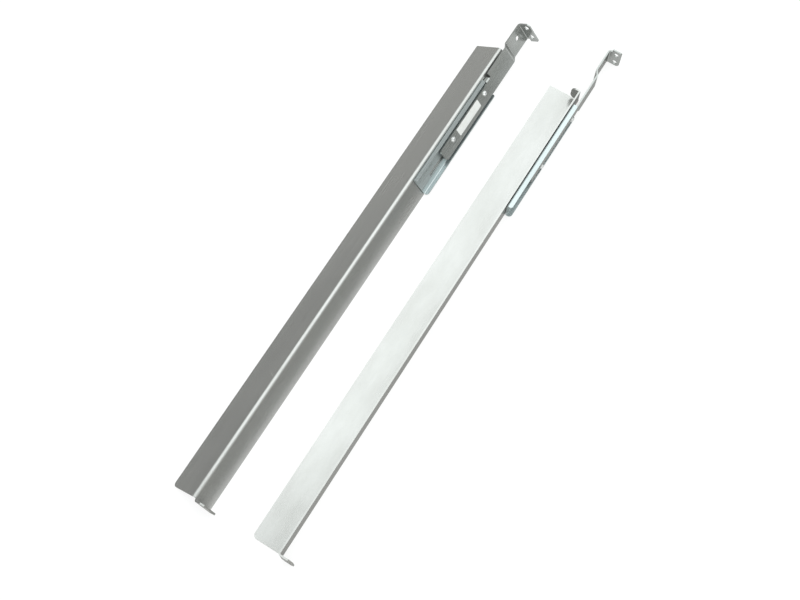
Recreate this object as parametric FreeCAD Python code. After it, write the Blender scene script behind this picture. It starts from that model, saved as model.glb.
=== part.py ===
"""Pair of sliding server rack rails, one of each hand, lying side by side on a flat surface.

Each rail is an L-shaped steel angle that a server rests on, with an ear at its front end and a
sliding bracket at its rear end, so that the pair reaches between rack posts of different depth.
The bracket is a flat bar screwed to a channel. The channel slides on two studs in the angle's web.

Every rail is drawn in its own frame first, in millimetres: X points outwards from the web's outer
face, Y runs along the rail from the shelf's front edge to the rear, and Z goes up the web from the
shelf's outer face. The right rail keeps that pose. The left rail is its mirror image, and rests on
its two free edges like a tent.
"""
import FreeCAD
import Part
import math
import os

V = FreeCAD.Vector

# ---- the angle: shelf, web, front ear and rear stop ----
rail_length = 675.0        # shelf, front edge to rear edge
shelf_width = 41.5         # free edge to the web's outer face
web_height = 31.0          # shelf's outer face to the web's free edge
rail_sheet = 2.0           # sheet thickness of the angle
rail_bend = 2.0            # inside radius of the long bend
shelf_corner = 5.0         # rounding of the shelf's front free corner
ear_bend = 1.5             # inside radius of the ears' bends and of the stop's bend
bend_relief = 0.8          # gap between the long bend and what is bent from the web's ends
front_ear_setback = 3.6    # front face of the front ear ahead of the shelf's front edge
front_ear_reach = 16.6     # web's outer face to the front ear's outer edge
front_ear_low = 1.5        # front ear's lower edge above the shelf's outer face
front_ear_corners = [4.0, 5.5]  # chamfers of the front ear's lower and upper outer corners
stop_reach = 12.5          # web's outer face to the rear stop's inner edge
stop_high = 26.4           # stop's upper edge, low enough to clear the surface under a tilted rail
stop_corner = 7.0          # rounding of the stop's free corners

# ---- holes for the rack's screws, the same in all four ears ----
rack_pitch = 15.875        # hole pitch of a standard rack
rack_hole = 6.6            # clearance hole for a rack screw
rack_hole_out = 12.1       # web's outer face to the holes' centre line
rack_hole_drop = 0.5       # middle of the two holes below the web's mid-height

# ---- the sliding channel ----
channel_length = 163.0
channel_from_rear = 69.8   # channel's rear edge ahead of the shelf's rear edge, pushed right in
channel_sheet = 1.2
channel_gap = 0.5          # running clearance between the channel's wall and the web
channel_floor_reach = 7.6  # web's outer face to the floor's free edge
channel_lip_reach = 8.1    # web's outer face to the lip's free edge
channel_bend = 1.8         # inside radius of the bend at the floor
lip_bend = 0.6             # inside radius of the bend at the lip
lip_height = 3.2           # lip's outer face above the shelf's outer face
floor_drop = 0.3           # floor's outer face below the web's free edge
lip_corner = 4.5           # rounding of the lip's free corners
floor_corner = 3.0         # rounding of the floor's free corners

# ---- the bracket bar ----
bar_sheet = 2.0
bar_gap = 5.0              # web's outer face to the bar's inner face, where it is screwed on
bar_low = 0.6              # lower edge of the bar's wide part above the shelf's outer face
bar_high = 26.4            # bar's upper edge
nose_low = 8.3             # lower edge of the narrow front part that lies in the channel
nose_ahead = 25.3          # bar's front end ahead of the front screw
nose_corner = 4.5          # rounding of the bar's front corners
shoulder_corner = 2.0      # rounding of the two corners of the shoulder
joggle_offset = 4.5        # inward step of the bar behind the angle's end
joggle_from_ear = 41.3     # start of the joggle ahead of the rear ear's rear face
joggle_length = 7.0
bar_length = 207.5         # bar's front end to the rear ear's rear face
rear_ear_reach = 18.6      # web's outer face to the rear ear's outer edge
rear_ear_high = 31.0       # rear ear's upper edge, its lower edge is the bar's
rear_ear_corners = [3.0, 1.0]   # chamfers of the rear ear's lower and upper outer corners
tab_length = 7.5           # locating tab bent inwards from the nose's lower edge
tab_from_channel = 0.5     # tab's front end behind the channel's rear edge
shoulder_from_tab = 2.0    # shoulder, where the bar widens, behind the tab's rear end
tab_clearance = 0.8        # tab's free edge to the web's outer face
bar_hole = 6.4             # round hole near the rear ear
bar_hole_from_ear = 15.0
bar_hole_height = 12.0

# ---- standoffs, screws and lock washers that join the bar to the channel ----
screw_height = 14.0        # screws' axis above the shelf's outer face
screw_from_rear = 11.4     # rear screw ahead of the channel's rear edge
screw_pitch = 75.9
screw_shank = 3.0          # diameters
screw_head = 5.8
screw_head_height = 1.7
screw_tip = 1.2            # web's outer face to the screw's tip
recess_length = 3.2        # cross recess in the screw's head
recess_width = 0.8
recess_depth = 0.9
standoff_outside = 4.8
standoff_tenon = 4.1       # the end clinched flush into the channel's wall
lock_outside = 7.4         # toothed lock washer
lock_thickness = 0.5
lock_teeth = 8
lock_tooth = 0.9           # depth of the gaps between the teeth
fit_clearance = 0.05       # radial clearance of shanks in their holes

# ---- studs that the channel slides on, with their washers ----
stud_height = 20.2         # studs' axis above the shelf's outer face
stud_pitch = 36.0
stud_shoulder = 3.8        # diameters
stud_tenon = 3.0
stud_sink = 5.2            # countersunk end, flush with the web's inner face
stud_head = 6.0
stud_head_height = 1.2
washer_outside = 6.4
washer_thickness = 0.5
washer_gap = 0.2           # running clearance between washer and channel wall
slot_clearance = 0.3       # stud shoulder to the slot's sides and ends
slot_front = 22.2          # slot's front end behind the channel's front edge
slot_rear = 10.4           # slot's rear end ahead of the channel's rear edge

# ---- how the pair lies ----
left_pulled_out = 18.0     # how far each slider is pulled out of its innermost place
right_pulled_out = 46.5
rail_spacing = 117.0       # left rail's long corner to the right rail's web, outer faces

# ---- sizes that follow from the ones above ----
long_corner = rail_bend + rail_sheet
web_start = long_corner + bend_relief
ear_outer_bend = ear_bend + rail_sheet
wall_in = channel_gap
wall_out = channel_gap + channel_sheet
floor_height = web_height - floor_drop
bar_in = bar_gap
bar_out = bar_gap + bar_sheet
end_in = bar_in - joggle_offset
end_out = bar_out - joggle_offset
slot_width = stud_shoulder + 2 * slot_clearance
slide_travel = channel_length - slot_front - slot_rear - slot_width - stud_pitch
fully_in = rail_length - channel_from_rear - channel_length   # channel's front edge, pushed right in
stud_front = fully_in + slide_travel + slot_front + slot_width / 2
screw_front = channel_length - screw_from_rear - screw_pitch
screw_places = [screw_front, screw_front + screw_pitch]
bar_front = screw_front - nose_ahead
tab_front = channel_length + tab_from_channel
stud_places = [stud_front, stud_front + stud_pitch]
rack_hole_middle = web_height / 2 - rack_hole_drop
hole_heights = [rack_hole_middle - rack_pitch / 2, rack_hole_middle + rack_pitch / 2]
sink_depth = (stud_sink - stud_tenon) / 2
tent_tilt = math.degrees(math.atan2(web_height - rail_sheet, shelf_width - rail_sheet))


# ---- drawing helpers ----
def unit(vector):
    """The vector at length one."""
    copy = V(vector)
    copy.normalize()
    return copy


def rounded_face(corners):
    """Face inside a polygon given as (point, radius) pairs, with its corners rounded."""
    starts = []
    ends = []
    arcs = []
    count = len(corners)
    for i in range(count):
        point, radius = corners[i]
        if radius <= 0:
            starts.append(point)
            ends.append(point)
            arcs.append(None)
            continue
        before = unit(corners[i - 1][0] - point)
        after = unit(corners[(i + 1) % count][0] - point)
        half = before.getAngle(after) / 2
        reach = radius / math.tan(half)
        middle = point + unit(before + after) * (radius / math.sin(half) - radius)
        starts.append(point + before * reach)
        ends.append(point + after * reach)
        arcs.append(middle)
    edges = []
    for i in range(count):
        if arcs[i]:
            edges.append(Part.Arc(starts[i], arcs[i], ends[i]).toShape())
        following = starts[(i + 1) % count]
        if (following - ends[i]).Length > 1e-6:
            edges.append(Part.LineSegment(ends[i], following).toShape())
    return Part.Face(Part.Wire(edges))


def along_rail(corners, start, end):
    """Solid with a section in X and Z, from one place along the rail to another."""
    section = [(V(x, start, z), radius) for x, z, radius in corners]
    return rounded_face(section).extrude(V(0, end - start, 0))


def up_web(corners, low, high):
    """Solid with a plan in X and Y, from one height to another."""
    plan = [(V(x, y, low), radius) for x, y, radius in corners]
    return rounded_face(plan).extrude(V(0, 0, high - low))


def through_web(corners, inner, outer):
    """Solid with an outline in Y and Z, from one distance from the web to another."""
    outline = [(V(inner, y, z), radius) for y, z, radius in corners]
    return rounded_face(outline).extrude(V(outer - inner, 0, 0))


def box(x, y, z):
    """Box between three pairs of limits."""
    return Part.makeBox(x[1] - x[0], y[1] - y[0], z[1] - z[0], V(x[0], y[0], z[0]))


def outward_pin(diameter, start, end, y, z):
    """Cylinder square to the web."""
    return Part.makeCylinder(diameter / 2, end - start, V(start, y, z), V(1, 0, 0))


def rear_pin(diameter, x, start, end, z):
    """Cylinder along the rail."""
    return Part.makeCylinder(diameter / 2, end - start, V(x, start, z), V(0, 1, 0))


def turned(profile, y, z):
    """Solid of revolution about an axis square to the web, from (distance, radius) points."""
    points = [V(x, y, z + radius) for x, radius in profile]
    face = Part.Face(Part.makePolygon(points + points[:1]))
    return face.revolve(V(0, y, z), V(1, 0, 0), 360)


def one_solid(shape):
    """The shape's single solid, with faces that lie in one surface merged."""
    return shape.removeSplitter().Solids[0]


# ---- parts of one rail, in the rail's own frame ----
def ear_outline(start, end, inner, outer, low, high, root_low, root_high, corners):
    """Block that gives an ear its chamfered outer corners and its narrower root at the bend."""
    root = inner + ear_outer_bend + rail_sheet
    points = [
        (inner, root_low), (root, root_low), (root, low), (outer - corners[0], low),
        (outer, low + corners[0]), (outer, high - corners[1]), (outer - corners[1], high), (root, high),
        (root, root_high), (inner, root_high)]
    return along_rail([(x, z, 0) for x, z in points], start, end)


def rack_holes(start, end):
    """Cutters for the two rack screws of an ear."""
    return [rear_pin(rack_hole, rack_hole_out, start, end, height) for height in hole_heights]


def make_front_ear():
    """Front end of the web, bent outwards into the ear that meets the rack's front post."""
    front = -front_ear_setback
    bent = up_web([
        (0, long_corner, 0), (0, front + rail_sheet, ear_bend), (front_ear_reach, front + rail_sheet, 0),
        (front_ear_reach, front, 0), (-rail_sheet, front, ear_outer_bend), (-rail_sheet, long_corner, 0)],
        0, web_height)
    plate = ear_outline(front, long_corner, -rail_sheet, front_ear_reach, front_ear_low, web_height,
                        web_start, web_height, front_ear_corners)
    return bent.common(plate).cut(rack_holes(front - 1, front + rail_sheet + 1))


def make_rear_stop():
    """Rear end of the web, bent inwards into the stop behind the server."""
    start = rail_length - 2 * ear_outer_bend
    bent = up_web([
        (0, start, 0), (0, rail_length, ear_outer_bend), (-stop_reach, rail_length, 0),
        (-stop_reach, rail_length - rail_sheet, 0), (-rail_sheet, rail_length - rail_sheet, ear_bend),
        (-rail_sheet, start, 0)], web_start, stop_high)
    outline = along_rail([
        (-stop_reach, web_start, stop_corner), (0, web_start, 0), (0, stop_high, 0),
        (-stop_reach, stop_high, stop_corner)], start, rail_length)
    return bent.common(outline)


def make_angle():
    """The L-shaped angle with its front ear, rear stop and stud holes."""
    angle = along_rail([
        (-shelf_width, 0, 0), (0, 0, long_corner), (0, web_height, 0), (-rail_sheet, web_height, 0),
        (-rail_sheet, rail_sheet, rail_bend), (-shelf_width, rail_sheet, 0)], 0, rail_length)
    shelf_plan = up_web([
        (-shelf_width, 0, shelf_corner), (1, 0, 0), (1, rail_length, 0), (-shelf_width, rail_length, 0)],
        0, web_height)
    rear_relief = box((-long_corner, 1), (rail_length - ear_outer_bend, rail_length + 1),
                      (web_start, web_height + 1))
    angle = angle.common(shelf_plan).cut(rear_relief)
    angle = angle.fuse([make_front_ear(), make_rear_stop()])
    holes = [turned([
        (-rail_sheet, 0), (-rail_sheet, stud_sink / 2), (sink_depth - rail_sheet, stud_tenon / 2),
        (1, stud_tenon / 2), (1, 0)], y, stud_height) for y in stud_places]
    return one_solid(angle.cut(holes))


def make_channel():
    """The sliding channel: a wall beside the web, with a floor at its top edge and a lip below."""
    section = [
        (wall_in, lip_height, lip_bend + channel_sheet), (channel_lip_reach, lip_height, 0),
        (channel_lip_reach, lip_height + channel_sheet, 0), (wall_out, lip_height + channel_sheet, lip_bend),
        (wall_out, floor_height - channel_sheet, channel_bend),
        (channel_floor_reach, floor_height - channel_sheet, 0), (channel_floor_reach, floor_height, 0),
        (wall_in, floor_height, channel_bend + channel_sheet)]
    channel = along_rail(section, 0, channel_length)
    middle_height = web_height / 2
    lip_plan = up_web([
        (wall_in, 0, 0), (channel_lip_reach, 0, lip_corner),
        (channel_lip_reach, channel_length, lip_corner), (wall_in, channel_length, 0)], 0, middle_height)
    floor_plan = up_web([
        (wall_in, 0, 0), (channel_floor_reach, 0, floor_corner),
        (channel_floor_reach, channel_length, floor_corner), (wall_in, channel_length, 0)],
        middle_height, web_height)
    slot_ends = [slot_front, channel_length - slot_rear]
    slot_sides = [stud_height - slot_width / 2, stud_height + slot_width / 2]
    almost_half = slot_width / 2 - 0.01
    slot = through_web([
        (slot_ends[0], slot_sides[0], almost_half), (slot_ends[1], slot_sides[0], almost_half),
        (slot_ends[1], slot_sides[1], almost_half), (slot_ends[0], slot_sides[1], almost_half)],
        wall_in - 1, wall_out + 1)
    holes = [outward_pin(standoff_tenon, wall_in - 1, wall_out + 1, y, screw_height) for y in screw_places]
    return one_solid(channel.common(lip_plan.fuse(floor_plan)).cut([slot] + holes))


def make_bracket():
    """The bracket: one blank with a narrow nose, a locating tab, a shoulder, a joggle and an ear."""
    rear = bar_front + bar_length
    shoulder = tab_front + tab_length + shoulder_from_tab
    step_start = rear - joggle_from_ear
    step_end = step_start + joggle_length
    plan = [
        (bar_in, bar_front, 0), (bar_in, step_start, bar_sheet), (end_in, step_end, 2 * bar_sheet),
        (end_in, rear, ear_bend + bar_sheet), (rear_ear_reach, rear, 0),
        (rear_ear_reach, rear - bar_sheet, 0), (end_out, rear - bar_sheet, ear_bend),
        (end_out, step_end, bar_sheet), (bar_out, step_start, 2 * bar_sheet), (bar_out, bar_front, 0)]
    bent = up_web(plan, bar_low, rear_ear_high)
    ear_start = rear - ear_bend - bar_sheet
    plate = ear_outline(ear_start, rear, end_in, rear_ear_reach, bar_low, rear_ear_high,
                        bar_low, bar_high, rear_ear_corners)
    outline = through_web([
        (bar_front, nose_low, nose_corner), (shoulder, nose_low, shoulder_corner),
        (shoulder, bar_low, shoulder_corner), (ear_start, bar_low, 0), (ear_start, bar_high, 0),
        (bar_front, bar_high, nose_corner)], end_in, bar_out)
    bar = bent.common(outline.fuse(plate))
    tab = along_rail([
        (tab_clearance, nose_low - bar_sheet, 0), (bar_out, nose_low - bar_sheet, bar_sheet + 0.5),
        (bar_out, nose_low + bar_sheet, 0), (bar_in, nose_low + bar_sheet, 0), (bar_in, nose_low, 0.5),
        (tab_clearance, nose_low, 0)], tab_front, tab_front + tab_length)
    cuts = rack_holes(rear - bar_sheet - 1, rear + 1)
    cuts += [outward_pin(screw_shank + 8 * fit_clearance, bar_in - 1, bar_out + 1, y, screw_height)
             for y in screw_places]
    cuts.append(outward_pin(bar_hole, end_in - 1, end_out + 1, rear - bar_hole_from_ear, bar_hole_height))
    return one_solid(bar.fuse(tab).cut(cuts))


def make_standoff(y):
    """Threaded tube that holds the bar off the channel's wall, its end clinched into the wall."""
    bore = screw_shank / 2 + fit_clearance
    return turned([
        (wall_in, bore), (wall_in, standoff_tenon / 2), (wall_out, standoff_tenon / 2),
        (wall_out, standoff_outside / 2), (bar_in, standoff_outside / 2), (bar_in, bore)], y, screw_height)


def make_lock_washer(y):
    """Lock washer with teeth all round its rim, under a screw's head."""
    outline = []
    for i in range(4 * lock_teeth):
        turn = math.radians(90 * (i + 0.5) / lock_teeth)
        radius = lock_outside / 2 - (lock_tooth if i % 4 < 2 else 0)
        outline.append((y + math.cos(turn) * radius, screw_height + math.sin(turn) * radius, 0))
    disc = through_web(outline, bar_out, bar_out + lock_thickness)
    return disc.cut(outward_pin(screw_shank + 2 * fit_clearance, bar_out - 1, bar_out + 2, y, screw_height))


def make_screw(y):
    """Pan-head screw with a cross recess."""
    base = bar_out + lock_thickness
    top = base + screw_head_height
    body = turned([
        (screw_tip, 0), (screw_tip, screw_shank / 2), (base, screw_shank / 2), (base, screw_head / 2),
        (base + screw_head_height / 2, screw_head / 2), (top, screw_head / 2 - 1.0), (top, 0)],
        y, screw_height)
    arms = []
    for length, width in [(recess_length, recess_width), (recess_width, recess_length)]:
        arms.append(box((top - recess_depth, top + 1), (y - length / 2, y + length / 2),
                        (screw_height - width / 2, screw_height + width / 2)))
    return one_solid(body.cut(arms))


def make_stud(y):
    """Shouldered stud, countersunk flush inside the web, that the channel's slot slides on."""
    head_start = wall_out + washer_gap + washer_thickness
    head_end = head_start + stud_head_height
    return turned([
        (-rail_sheet, 0), (-rail_sheet, stud_sink / 2), (sink_depth - rail_sheet, stud_tenon / 2),
        (0, stud_tenon / 2), (0, stud_shoulder / 2), (head_start, stud_shoulder / 2),
        (head_start, stud_head / 2), (head_end, stud_head / 2), (head_end, 0)], y, stud_height)


def make_washer(y):
    """Flat washer under a stud's head."""
    start = wall_out + washer_gap
    end = start + washer_thickness
    bore = stud_shoulder / 2 + fit_clearance
    return turned([
        (start, bore), (start, washer_outside / 2), (end, washer_outside / 2), (end, bore)], y, stud_height)


# ---- laying the pair ----
def lay_right(shape, slide):
    """Places a shape of the right rail, moved back by its slide."""
    placed = shape.copy()
    placed.translate(V(rail_spacing / 2, slide, 0))
    return placed


def lay_left(shape, slide):
    """Mirrors a shape, and stands it on the free edges of shelf and web."""
    placed = shape.mirror(V(0, 0, 0), V(1, 0, 0))
    placed.translate(V(0, slide, 0))
    placed.rotate(V(0, 0, 0), V(0, 1, 0), 180 - tent_tilt)
    tilt = math.radians(tent_tilt)
    rise = shelf_width * math.sin(tilt) + rail_sheet * math.cos(tilt)
    placed.translate(V(-rail_spacing / 2, 0, rise))
    return placed


def main():
    fixed_parts = {
        "rail_angle": make_angle(),
        "stud_washers": Part.makeCompound([make_washer(y) for y in stud_places])}
    sliding_parts = {
        "guide_channel": make_channel(),
        "rear_bracket": make_bracket(),
        "bracket_screws": Part.makeCompound([make_screw(y) for y in screw_places]),
        "lock_washers": Part.makeCompound([make_lock_washer(y) for y in screw_places])}
    for place, stud_y, screw_y in zip(["front", "rear"], stud_places, screw_places):
        fixed_parts[place + "_stud"] = make_stud(stud_y)
        sliding_parts[place + "_standoff"] = make_standoff(screw_y)

    nodes = {}
    sides = [("left", lay_left, left_pulled_out), ("right", lay_right, right_pulled_out)]
    for side, lay, pulled_out in sides:
        for name, shape in fixed_parts.items():
            nodes[side + "_" + name] = lay(shape, 0)
        for name, shape in sliding_parts.items():
            nodes[side + "_" + name] = lay(shape, fully_in + pulled_out)

    whole = Part.makeCompound(list(nodes.values())).BoundBox
    to_origin = V(-whole.Center.x, -whole.Center.y, -whole.ZMin)
    os.makedirs("parts", exist_ok=True)
    for name, shape in nodes.items():
        shape.translate(to_origin)
        shape.exportStep(os.path.join("parts", name + ".step"))
    print("moved to the origin by", to_origin)
    print("tent tilt", tent_tilt, "whole size", whole.XLength, whole.YLength, whole.ZLength)


main()
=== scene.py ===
"""Looks for a pair of zinc plated server rack rails, one of each hand, lying side by side.

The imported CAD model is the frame. This script gives every node its finish, adds the label on the
left bracket, and sets the floor, the lights and the camera. Lengths are in metres, apart from the
camera's lens and sensor. Across is x, along the rails is y from the front ears back, and up is z.
"""
import math

import bpy
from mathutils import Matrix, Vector


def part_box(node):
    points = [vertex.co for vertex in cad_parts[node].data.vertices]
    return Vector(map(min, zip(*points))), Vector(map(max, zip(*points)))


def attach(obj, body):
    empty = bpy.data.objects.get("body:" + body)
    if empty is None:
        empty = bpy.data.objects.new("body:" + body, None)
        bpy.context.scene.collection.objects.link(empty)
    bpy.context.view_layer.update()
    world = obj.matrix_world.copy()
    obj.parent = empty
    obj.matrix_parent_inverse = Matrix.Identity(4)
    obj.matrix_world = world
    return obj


MM = 0.001

# ---- sizes of the rails that the scene places things by ----
SHELF_WIDTH = 41.5 * MM            # shelf's free edge to the web's outer face
WEB_HEIGHT = 31 * MM
SHEET = 2 * MM
EAR_SETBACK = 3.6 * MM             # front face of the front ear ahead of the shelf's front edge
BRACKET_OUTER = 7.0 * MM           # bracket's outer face from the web's outer face
RAIL_SPACING = 117 * MM            # left rail's long corner to the right rail's web, outer faces
TENT_TILT = math.atan2(WEB_HEIGHT - SHEET, SHELF_WIDTH - SHEET)   # slope of the left rail's shelf

# ---- label on the left bracket ----
LABEL_LENGTH = 50 * MM
LABEL_WIDTH = 11.3 * MM
LABEL_THICKNESS = 0.12 * MM
LABEL_CORNER = 0.8 * MM
LABEL_CORNER_STEPS = 4
LABEL_START = 37.0 * MM            # from the bracket's front end
LABEL_LOW = 9.7 * MM               # lower edge, up the web from the shelf's outer face
LABEL_GAP = 0.01 * MM              # between the bracket and the label, so that no faces coincide

# ---- zinc plating ----
# Each noise has its cells per metre across, along and up, its detail and its roughness.
CLOUD = ((22, 8, 22), 6.0, 0.6)
MOTTLE = ((160, 90, 160), 4.0, 0.6)
STREAK = ((1100, 10, 1100), 3.0, 0.6)
SPECK = ((900, 900, 900), 2.0, 0.5)
SCUFF = ((300, 40, 300), 5.0, 0.7)
CLOUD_EDGES = (0.35, 0.68)         # noise values at which the clouds are fully light and dark
STREAK_COLOUR = (0.80, 0.81, 0.80)
SCUFF_COLOUR = (0.22, 0.22, 0.20)
SPECK_COLOUR = (0.88, 0.88, 0.87)
MIDDLE = (0.3, 0.7)                # most values of a noise lie between these
CLOUD_ROUGHNESS = (-0.03, 0.07)    # added to a finish's roughness at the two ends of MIDDLE
STREAK_ROUGHNESS = (-0.02, 0.03)
STREAK_RELIEF = 0.8                # share of the relief that is streaks, the rest is mottling
ZINC_RELIEF = {"Distance": 0.002 * MM, "Strength": 0.2}
ZINC_SPECULAR_TINT = (0.34, 0.34, 0.325)   # dims what the plating mirrors, most at flat angles

# ---- label paper ----
PAPER_WHITE = (0.86, 0.87, 0.86)
PAPER_YELLOWED = (0.78, 0.78, 0.75)
PAPER_CLOUD = ((120, 60, 120), 4.0, 0.5)
PAPER_CLOUD_EDGES = (0.35, 0.7)
PAPER_FIBRE = ((2500, 2500, 2500), 2.0, 0.5)
PAPER_ROUGHNESS = (0.42, 0.60)
PAPER_RELIEF = {"Distance": 0.01 * MM, "Strength": 0.4}

# ---- floor ----
FLOOR_WIDTH = 60
FLOOR_DROP = 0.2 * MM              # under the rails, so that no faces coincide
FLOOR_GREY = (0.22, 0.22, 0.22)
FLOOR_GLOW = 0.82                  # added where the floor is seen, directly or mirrored

# ---- light ----
HORIZON_LEFT = 0.11                # strength of the surround low on the left
HORIZON_ELSEWHERE = 0.55           # and low on the other sides
CEILING = 0.80                     # and high up
LEFT_FADE = (-1.0, -0.75)          # the left gives way between these x of a unit direction
CEILING_FADE = (0.12, 0.50)        # low gives way to high between these z of a unit direction
HORIZON_TINT = (1.0, 0.98, 0.92)
CEILING_TINT = (0.96, 1.0, 1.0)

# ---- camera ----
CAMERA_DISTANCE = 1.5
CAMERA_ELEVATION = math.radians(70.5)
CAMERA_AZIMUTH = math.radians(32)  # turned to the right from straight ahead of the rails
CAMERA_LENS = 56.25                # millimetres
CAMERA_SENSOR = 36                 # millimetres
TARGET_BEHIND_FRONT = 327.4 * MM   # from the shelves' front edges
TARGET_BEFORE_WEB = 50.6 * MM      # from the right web's outer face, towards the left rail


class Nodes:
    """Short calls for building one node tree from empty."""

    def __init__(self, tree):
        self.tree = tree
        tree.nodes.clear()

    def feed(self, node, socket, value):
        """Link another node's output to an input, or set the input's own value."""
        if isinstance(value, bpy.types.NodeSocket):
            self.tree.links.new(value, node.inputs[socket])
        else:
            node.inputs[socket].default_value = value

    def add(self, kind, inputs=None, **settings):
        """New node with its settings and inputs."""
        node = self.tree.nodes.new(kind)
        for key, value in settings.items():
            setattr(node, key, value)
        for socket, value in (inputs or {}).items():
            self.feed(node, socket, value)
        return node

    def noise(self, cells, detail, roughness, shift=0.0):
        """Noise with so many cells per metre, shifted so that finishes differ."""
        coordinates = self.add("ShaderNodeTexCoord").outputs["Object"]
        place = self.add("ShaderNodeMapping", {
            "Vector": coordinates, "Scale": cells, "Location": (shift, shift, shift)}).outputs["Vector"]
        return self.add("ShaderNodeTexNoise", {
            "Vector": place, "Scale": 1.0, "Detail": detail, "Roughness": roughness}).outputs["Fac"]

    def band(self, value, low, high, to_low=0.0, to_high=1.0):
        """Value moved from one range to another, and kept inside it."""
        return self.add("ShaderNodeMapRange", {
            "Value": value, "From Min": low, "From Max": high,
            "To Min": to_low, "To Max": to_high}).outputs["Result"]

    def mix(self, factor, first, second):
        """Colour between two others."""
        return self.add("ShaderNodeMix", {0: factor, 6: first, 7: second}, data_type="RGBA").outputs[2]

    def math(self, operation, first, second):
        """Result of one sum on two values."""
        return self.add("ShaderNodeMath", {0: first, 1: second}, operation=operation).outputs[0]

    def bump(self, height, relief):
        """Normal bent by a slight relief."""
        return self.add("ShaderNodeBump", {"Height": height, **relief}).outputs["Normal"]


def opaque(colour):
    """Red, green and blue with full alpha."""
    return (*colour, 1)


def new_material(name):
    """An empty node material and the calls for building it."""
    material = bpy.data.materials.new(name)
    material.use_nodes = True
    return material, Nodes(material.node_tree)


def zinc(name, light, dark, streaks, roughness, metallic, shift):
    """Zinc plated steel: cloudy plating, rolling streaks along the rail, scuffs and fine specks.

    Its clouds go from light to dark, and streaks is the most that the streaks' colour shows.
    """
    material, n = new_material(name)
    cloud = n.noise(*CLOUD, shift)
    mottle = n.noise(*MOTTLE, shift)
    streak = n.noise(*STREAK, shift)
    speck = n.noise(*SPECK, shift)
    scuff = n.noise(*SCUFF, shift)
    base = n.mix(n.band(cloud, *CLOUD_EDGES), opaque(light), opaque(dark))
    # Each mark comes in between two values of its noise, up to its share of the colour.
    for noise, low, high, share, colour in ((mottle, 0.35, 0.70, 0.25, dark),
                                            (streak, 0.40, 0.80, streaks, STREAK_COLOUR),
                                            (scuff, 0.62, 0.80, 0.10, SCUFF_COLOUR),
                                            (speck, 0.66, 0.80, 0.20, SPECK_COLOUR)):
        base = n.mix(n.band(noise, low, high, 0.0, share), base, opaque(colour))
    smoothest, roughest = (roughness + change for change in CLOUD_ROUGHNESS)
    rough = n.math("ADD", n.band(cloud, *MIDDLE, smoothest, roughest),
                   n.band(streak, *MIDDLE, *STREAK_ROUGHNESS))
    height = n.math("ADD", n.math("MULTIPLY", streak, STREAK_RELIEF),
                    n.math("MULTIPLY", mottle, 1 - STREAK_RELIEF))
    shader = n.add("ShaderNodeBsdfPrincipled", {
        "Base Color": base, "Roughness": rough, "Normal": n.bump(height, ZINC_RELIEF),
        "Metallic": metallic, "Specular Tint": opaque(ZINC_SPECULAR_TINT)})
    n.add("ShaderNodeOutputMaterial", {"Surface": shader.outputs[0]})
    return material


def paper(name):
    """Bare white label, faintly yellowed."""
    material, n = new_material(name)
    fibre = n.noise(*PAPER_FIBRE)
    yellowing = n.band(n.noise(*PAPER_CLOUD), *PAPER_CLOUD_EDGES)
    shader = n.add("ShaderNodeBsdfPrincipled", {
        "Base Color": n.mix(yellowing, opaque(PAPER_WHITE), opaque(PAPER_YELLOWED)),
        "Roughness": n.band(fibre, *MIDDLE, *PAPER_ROUGHNESS),
        "Normal": n.bump(fibre, PAPER_RELIEF)})
    n.add("ShaderNodeOutputMaterial", {"Surface": shader.outputs[0]})
    return material


def finish_nodes(nodes):
    """Give angles, channels and brackets a zinc of their own, and all small parts a brighter one."""
    rail = zinc("rail_zinc", light=(0.505, 0.507, 0.495), dark=(0.44, 0.441, 0.425),
                streaks=0.05, roughness=0.21, metallic=0.80, shift=0.0)
    channel = zinc("channel_zinc", light=(0.545, 0.60, 0.605), dark=(0.485, 0.54, 0.545),
                   streaks=0.06, roughness=0.25, metallic=0.72, shift=3.1)
    bracket = zinc("bracket_zinc", light=(0.45, 0.465, 0.455), dark=(0.39, 0.405, 0.39),
                   streaks=0.05, roughness=0.24, metallic=0.74, shift=5.7)
    fastener = zinc("fastener_zinc", light=(0.88, 0.89, 0.89), dark=(0.78, 0.79, 0.79),
                    streaks=0.04, roughness=0.20, metallic=0.45, shift=8.3)
    sheet_parts = {"rail_angle": rail, "guide_channel": channel, "rear_bracket": bracket}
    for name, node in nodes.items():
        part = name.split("_", 1)[1]   # without its side
        for slot in node.material_slots:
            slot.material = sheet_parts.get(part, fastener)


def link(thing):
    """Put a new object into the scene."""
    bpy.context.scene.collection.objects.link(thing)


def on_left_rail(outward, along, up_web):
    """Point given from the left web's outer face, its bracket's front end and its shelf's outer face."""
    corner_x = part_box("right_rail_angle")[0][0] + SHELF_WIDTH - RAIL_SPACING
    corner_z = SHELF_WIDTH * math.sin(TENT_TILT) + SHEET * math.cos(TENT_TILT)
    x = corner_x + outward * math.cos(TENT_TILT) + up_web * math.sin(TENT_TILT)
    z = corner_z + outward * math.sin(TENT_TILT) - up_web * math.cos(TENT_TILT)
    return Vector((x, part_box("left_rear_bracket")[0][1] + along, z))


def label_outline():
    """Rectangle with rounded corners, as points along and up the bracket."""
    outline = []
    for corner in range(4):
        along = LABEL_LENGTH - LABEL_CORNER if corner in (0, 3) else LABEL_CORNER
        up_web = LABEL_WIDTH - LABEL_CORNER if corner in (0, 1) else LABEL_CORNER
        for step in range(LABEL_CORNER_STEPS + 1):
            angle = (corner + step / LABEL_CORNER_STEPS) * math.pi / 2
            outline.append((along + LABEL_CORNER * math.cos(angle),
                            up_web + LABEL_CORNER * math.sin(angle)))
    return outline


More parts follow.
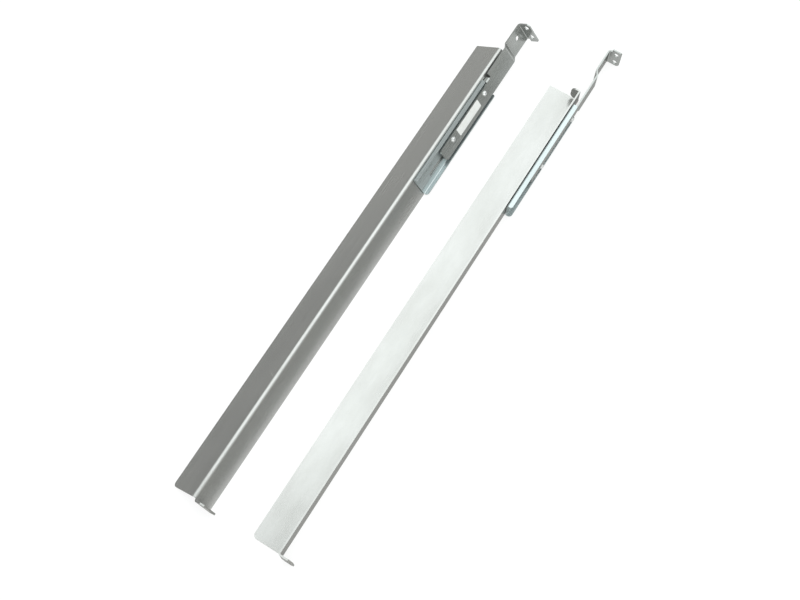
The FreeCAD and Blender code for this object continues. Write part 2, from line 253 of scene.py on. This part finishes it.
def make_label():
    """Thin label stuck flat on the left bracket."""
    outline = label_outline()
    count = len(outline)
    points = []
    for outward in (BRACKET_OUTER + LABEL_GAP, BRACKET_OUTER + LABEL_THICKNESS):
        for along, up_web in outline:
            points.append(on_left_rail(outward, LABEL_START + along, LABEL_LOW + up_web))
    faces = [list(range(count)), list(range(2 * count - 1, count - 1, -1))]
    for i in range(count):
        following = (i + 1) % count
        faces.append([i, i + count, following + count, following])
    mesh = bpy.data.meshes.new("left_label")
    mesh.from_pydata(points, [], faces)
    label = bpy.data.objects.new("left_label", mesh)
    link(label)
    label.data.materials.append(paper("label_paper"))
    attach(label, "slider_left")


def seen_or_mirrored(n):
    """1 for rays from the camera and for mirrored and refracted ones, else 0."""
    path = n.add("ShaderNodeLightPath").outputs
    either = n.math("MAXIMUM", path["Is Camera Ray"], path["Is Glossy Ray"])
    return n.math("MAXIMUM", either, path["Is Transmission Ray"])


def make_floor():
    """Pale floor that shows white and keeps the object's shadow."""
    bpy.ops.mesh.primitive_plane_add(size=FLOOR_WIDTH, location=(0, 0, -FLOOR_DROP))
    floor = bpy.context.object
    floor.name = "floor"
    material, n = new_material("floor")
    diffuse = n.add("ShaderNodeBsdfDiffuse", {"Color": opaque(FLOOR_GREY)}).outputs[0]
    strength = n.math("MULTIPLY", seen_or_mirrored(n), FLOOR_GLOW)
    glow = n.add("ShaderNodeEmission", {"Color": (1, 1, 1, 1), "Strength": strength}).outputs[0]
    both = n.add("ShaderNodeAddShader", {0: diffuse, 1: glow}).outputs[0]
    n.add("ShaderNodeOutputMaterial", {"Surface": both})
    floor.data.materials.append(material)


def make_world():
    """Soft studio surround: a pale ceiling that fades to a dim horizon, darker on the left."""
    world = bpy.data.worlds.new("world")
    bpy.context.scene.world = world
    world.use_nodes = True
    n = Nodes(world.node_tree)
    direction = n.add("ShaderNodeTexCoord").outputs["Generated"]
    axes = n.add("ShaderNodeSeparateXYZ", {"Vector": direction}).outputs
    horizon = n.band(axes["X"], *LEFT_FADE, HORIZON_LEFT, HORIZON_ELSEWHERE)
    strength = n.band(axes["Z"], *CEILING_FADE, horizon, CEILING)
    tint = n.mix(n.band(axes["Z"], *CEILING_FADE), opaque(HORIZON_TINT), opaque(CEILING_TINT))
    light = n.add("ShaderNodeBackground", {"Color": tint, "Strength": strength}).outputs[0]
    n.add("ShaderNodeOutputWorld", {"Surface": light})


def area_light(name, place, aim, size, power, colour):
    """Rectangular soft light that faces a point, with its power in watts."""
    data = bpy.data.lights.new(name, "AREA")
    data.shape = "RECTANGLE"
    data.size, data.size_y = size
    data.energy = power
    data.color = colour
    lamp = bpy.data.objects.new(name, data)
    link(lamp)
    lamp.location = place
    lamp.rotation_euler = (Vector(aim) - Vector(place)).to_track_quat("-Z", "Y").to_euler()


def make_camera():
    """Camera that looks down along the rails from their front end."""
    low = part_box("right_rail_angle")[0]
    target = Vector((low[0] + SHELF_WIDTH - TARGET_BEFORE_WEB,
                     low[1] + EAR_SETBACK + TARGET_BEHIND_FRONT, 0))
    towards = Vector((math.cos(CAMERA_ELEVATION) * math.sin(CAMERA_AZIMUTH),
                      -math.cos(CAMERA_ELEVATION) * math.cos(CAMERA_AZIMUTH),
                      math.sin(CAMERA_ELEVATION)))
    data = bpy.data.cameras.new("camera")
    data.lens = CAMERA_LENS
    data.sensor_width = CAMERA_SENSOR
    camera = bpy.data.objects.new("camera", data)
    link(camera)
    camera.location = target + towards * CAMERA_DISTANCE
    camera.rotation_euler = (-towards).to_track_quat("-Z", "Y").to_euler()
    bpy.context.scene.camera = camera


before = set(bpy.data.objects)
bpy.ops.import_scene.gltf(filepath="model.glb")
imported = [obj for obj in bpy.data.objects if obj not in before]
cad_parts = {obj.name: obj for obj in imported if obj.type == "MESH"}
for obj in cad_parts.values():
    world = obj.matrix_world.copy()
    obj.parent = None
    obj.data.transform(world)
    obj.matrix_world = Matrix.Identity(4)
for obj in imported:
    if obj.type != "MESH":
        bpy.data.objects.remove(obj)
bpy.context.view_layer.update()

finish_nodes(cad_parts)
make_label()
make_floor()
make_world()
area_light("overhead", place=(-0.2, 0.65, 1.5), aim=(-0.2, 0.65, 0), size=(2.4, 1.9),
           power=18, colour=(0.96, 1.0, 1.0))
area_light("front", place=(1.4, -1.1, 0.45), aim=(0, -0.2, 0), size=(1.0, 0.6),
           power=9, colour=(1.0, 0.99, 0.95))
make_camera()

bpy.context.scene.view_settings.view_transform = "Standard"
